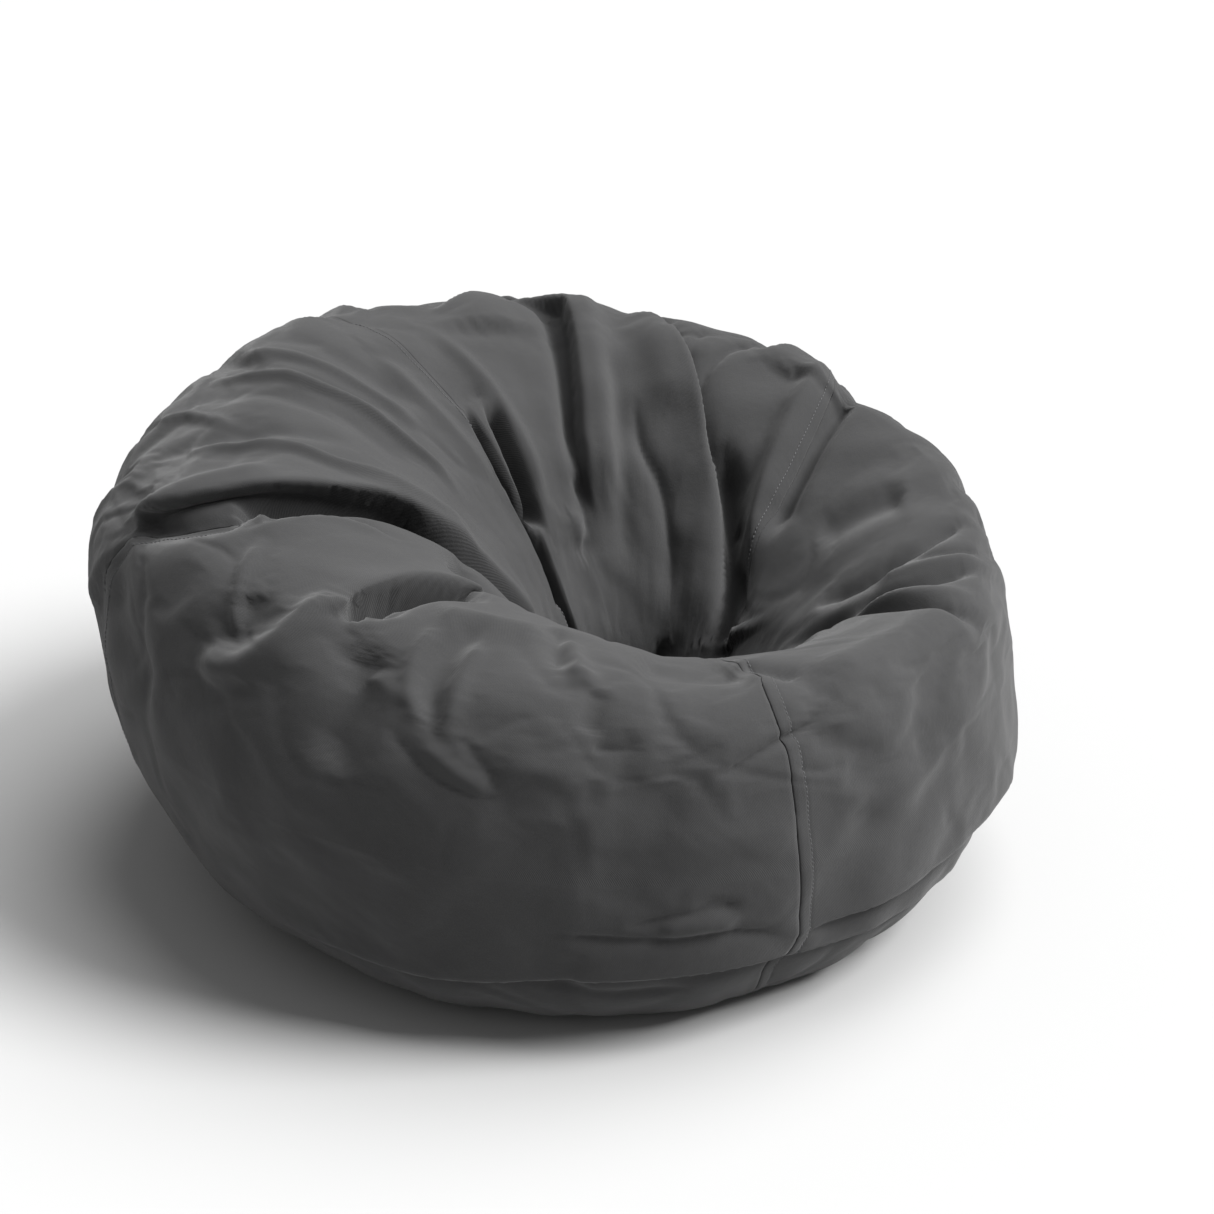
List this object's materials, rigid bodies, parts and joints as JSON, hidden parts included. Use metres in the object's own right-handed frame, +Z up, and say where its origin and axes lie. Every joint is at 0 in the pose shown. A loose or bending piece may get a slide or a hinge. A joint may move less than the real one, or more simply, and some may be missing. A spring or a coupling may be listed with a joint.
{
  "type": "bean bag chair",
  "caption": "Large round bean bag chair with a funnel seat, a zipped cotton twill cover in panels and a zipped inner liner of bead filling.",
  "frame": {"origin": "on the floor, under the middle of the belly's width and depth", "axes": "+Z up, +X to the sitter's left of the front view (the right-hand side seen from the front), the front of the seat faces -Y"},
  "size_m": [0.9678, 0.9942, 0.5083],
  "materials": {
    "cover_twill": "matt cotton twill",
    "thread": "polyester sewing thread",
    "zip_tape": "woven tape",
    "zip_metal": "brushed",
    "zip_coil": "moulded",
    "liner_cloth": "plain woven polyester",
    "label_cloth": "satin tape",
    "beads": "expanded polystyrene beads"
  },
  "bodies": {
    "bag": {"cover_wall_front_right": "cover_twill", "cover_wall_back_right": "cover_twill", "cover_wall_back_left": "cover_twill", "cover_wall_front_left": "cover_twill", "cover_seat_cap": "cover_twill", "cover_base_front": "cover_twill", "cover_base_back": "cover_twill", "seam_stitch_front": "thread", "seam_stitch_right": "thread", "seam_stitch_back": "thread", "seam_stitch_left": "thread", "care_label": "label_cloth", "cover_zip_tape_front": "zip_tape", "cover_zip_teeth_front": "zip_metal", "cover_zip_tape_back": "zip_tape", "cover_zip_teeth_back": "zip_metal", "cover_zip_stop_left": "zip_metal", "cover_zip_stop_right": "zip_metal", "liner_wall_front_right": "liner_cloth", "liner_wall_back_right": "liner_cloth", "liner_wall_back_left": "liner_cloth", "liner_wall_front_left": "liner_cloth", "liner_seat_cap": "liner_cloth", "liner_base_front": "liner_cloth", "liner_base_back": "liner_cloth", "liner_zip_tape_front": "zip_tape", "liner_zip_teeth_front": "zip_coil", "liner_zip_tape_back": "zip_tape", "liner_zip_teeth_back": "zip_coil", "liner_zip_stop_left": "zip_coil", "liner_zip_stop_right": "zip_coil", "bead_fill": "beads"},
    "cover_slider": {"cover_zip_slider": "zip_metal"},
    "liner_slider": {"liner_zip_slider": "zip_coil"}
  },
  "joints": [
    {"name": "cover_zip_travel", "type": "slide", "parent": "bag", "child": "cover_slider", "axis": [-1, 0, 0], "range_m": [0, 0.5365]},
    {"name": "liner_zip_travel", "type": "slide", "parent": "bag", "child": "liner_slider", "axis": [-1, 0, 0], "range_m": [0, 0.3595]}
  ]
}
